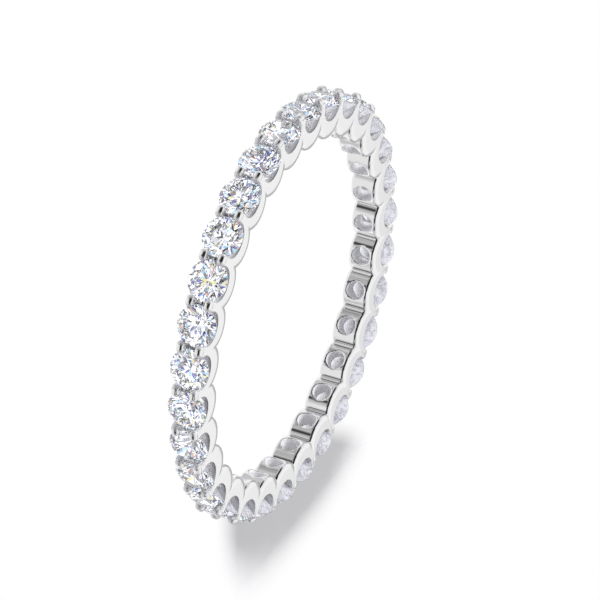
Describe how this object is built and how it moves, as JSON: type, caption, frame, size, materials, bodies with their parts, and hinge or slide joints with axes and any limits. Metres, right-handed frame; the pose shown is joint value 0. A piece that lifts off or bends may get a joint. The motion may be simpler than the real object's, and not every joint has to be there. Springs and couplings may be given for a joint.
{
  "type": "full eternity ring",
  "caption": "Slim polished ring set all the way round with round brilliants in shared claws, over a scalloped inside with light holes.",
  "frame": {"origin": "on the ring's axis, at the level of the surface that it lies on: the middle of the bottom of its box", "axes": "+Z along the ring's axis, up from the surface it lies on; +X through the middle of one stone; +Y between two stones"},
  "size_m": [0.0214, 0.0216, 0.002],
  "materials": {
    "metal": "mirror polished white gold",
    "stone": "clear, cut and polished facets"
  },
  "bodies": {
    "root": {"band": "metal", "stone_01": "stone", "stone_02": "stone", "stone_03": "stone", "stone_04": "stone", "stone_05": "stone", "stone_06": "stone", "stone_07": "stone", "stone_08": "stone", "stone_09": "stone", "stone_10": "stone", "stone_11": "stone", "stone_12": "stone", "stone_13": "stone", "stone_14": "stone", "stone_15": "stone", "stone_16": "stone", "stone_17": "stone", "stone_18": "stone", "stone_19": "stone", "stone_20": "stone", "stone_21": "stone", "stone_22": "stone", "stone_23": "stone", "stone_24": "stone", "stone_25": "stone", "stone_26": "stone", "stone_27": "stone", "stone_28": "stone", "stone_29": "stone", "stone_30": "stone"}
  },
  "joints": []
}
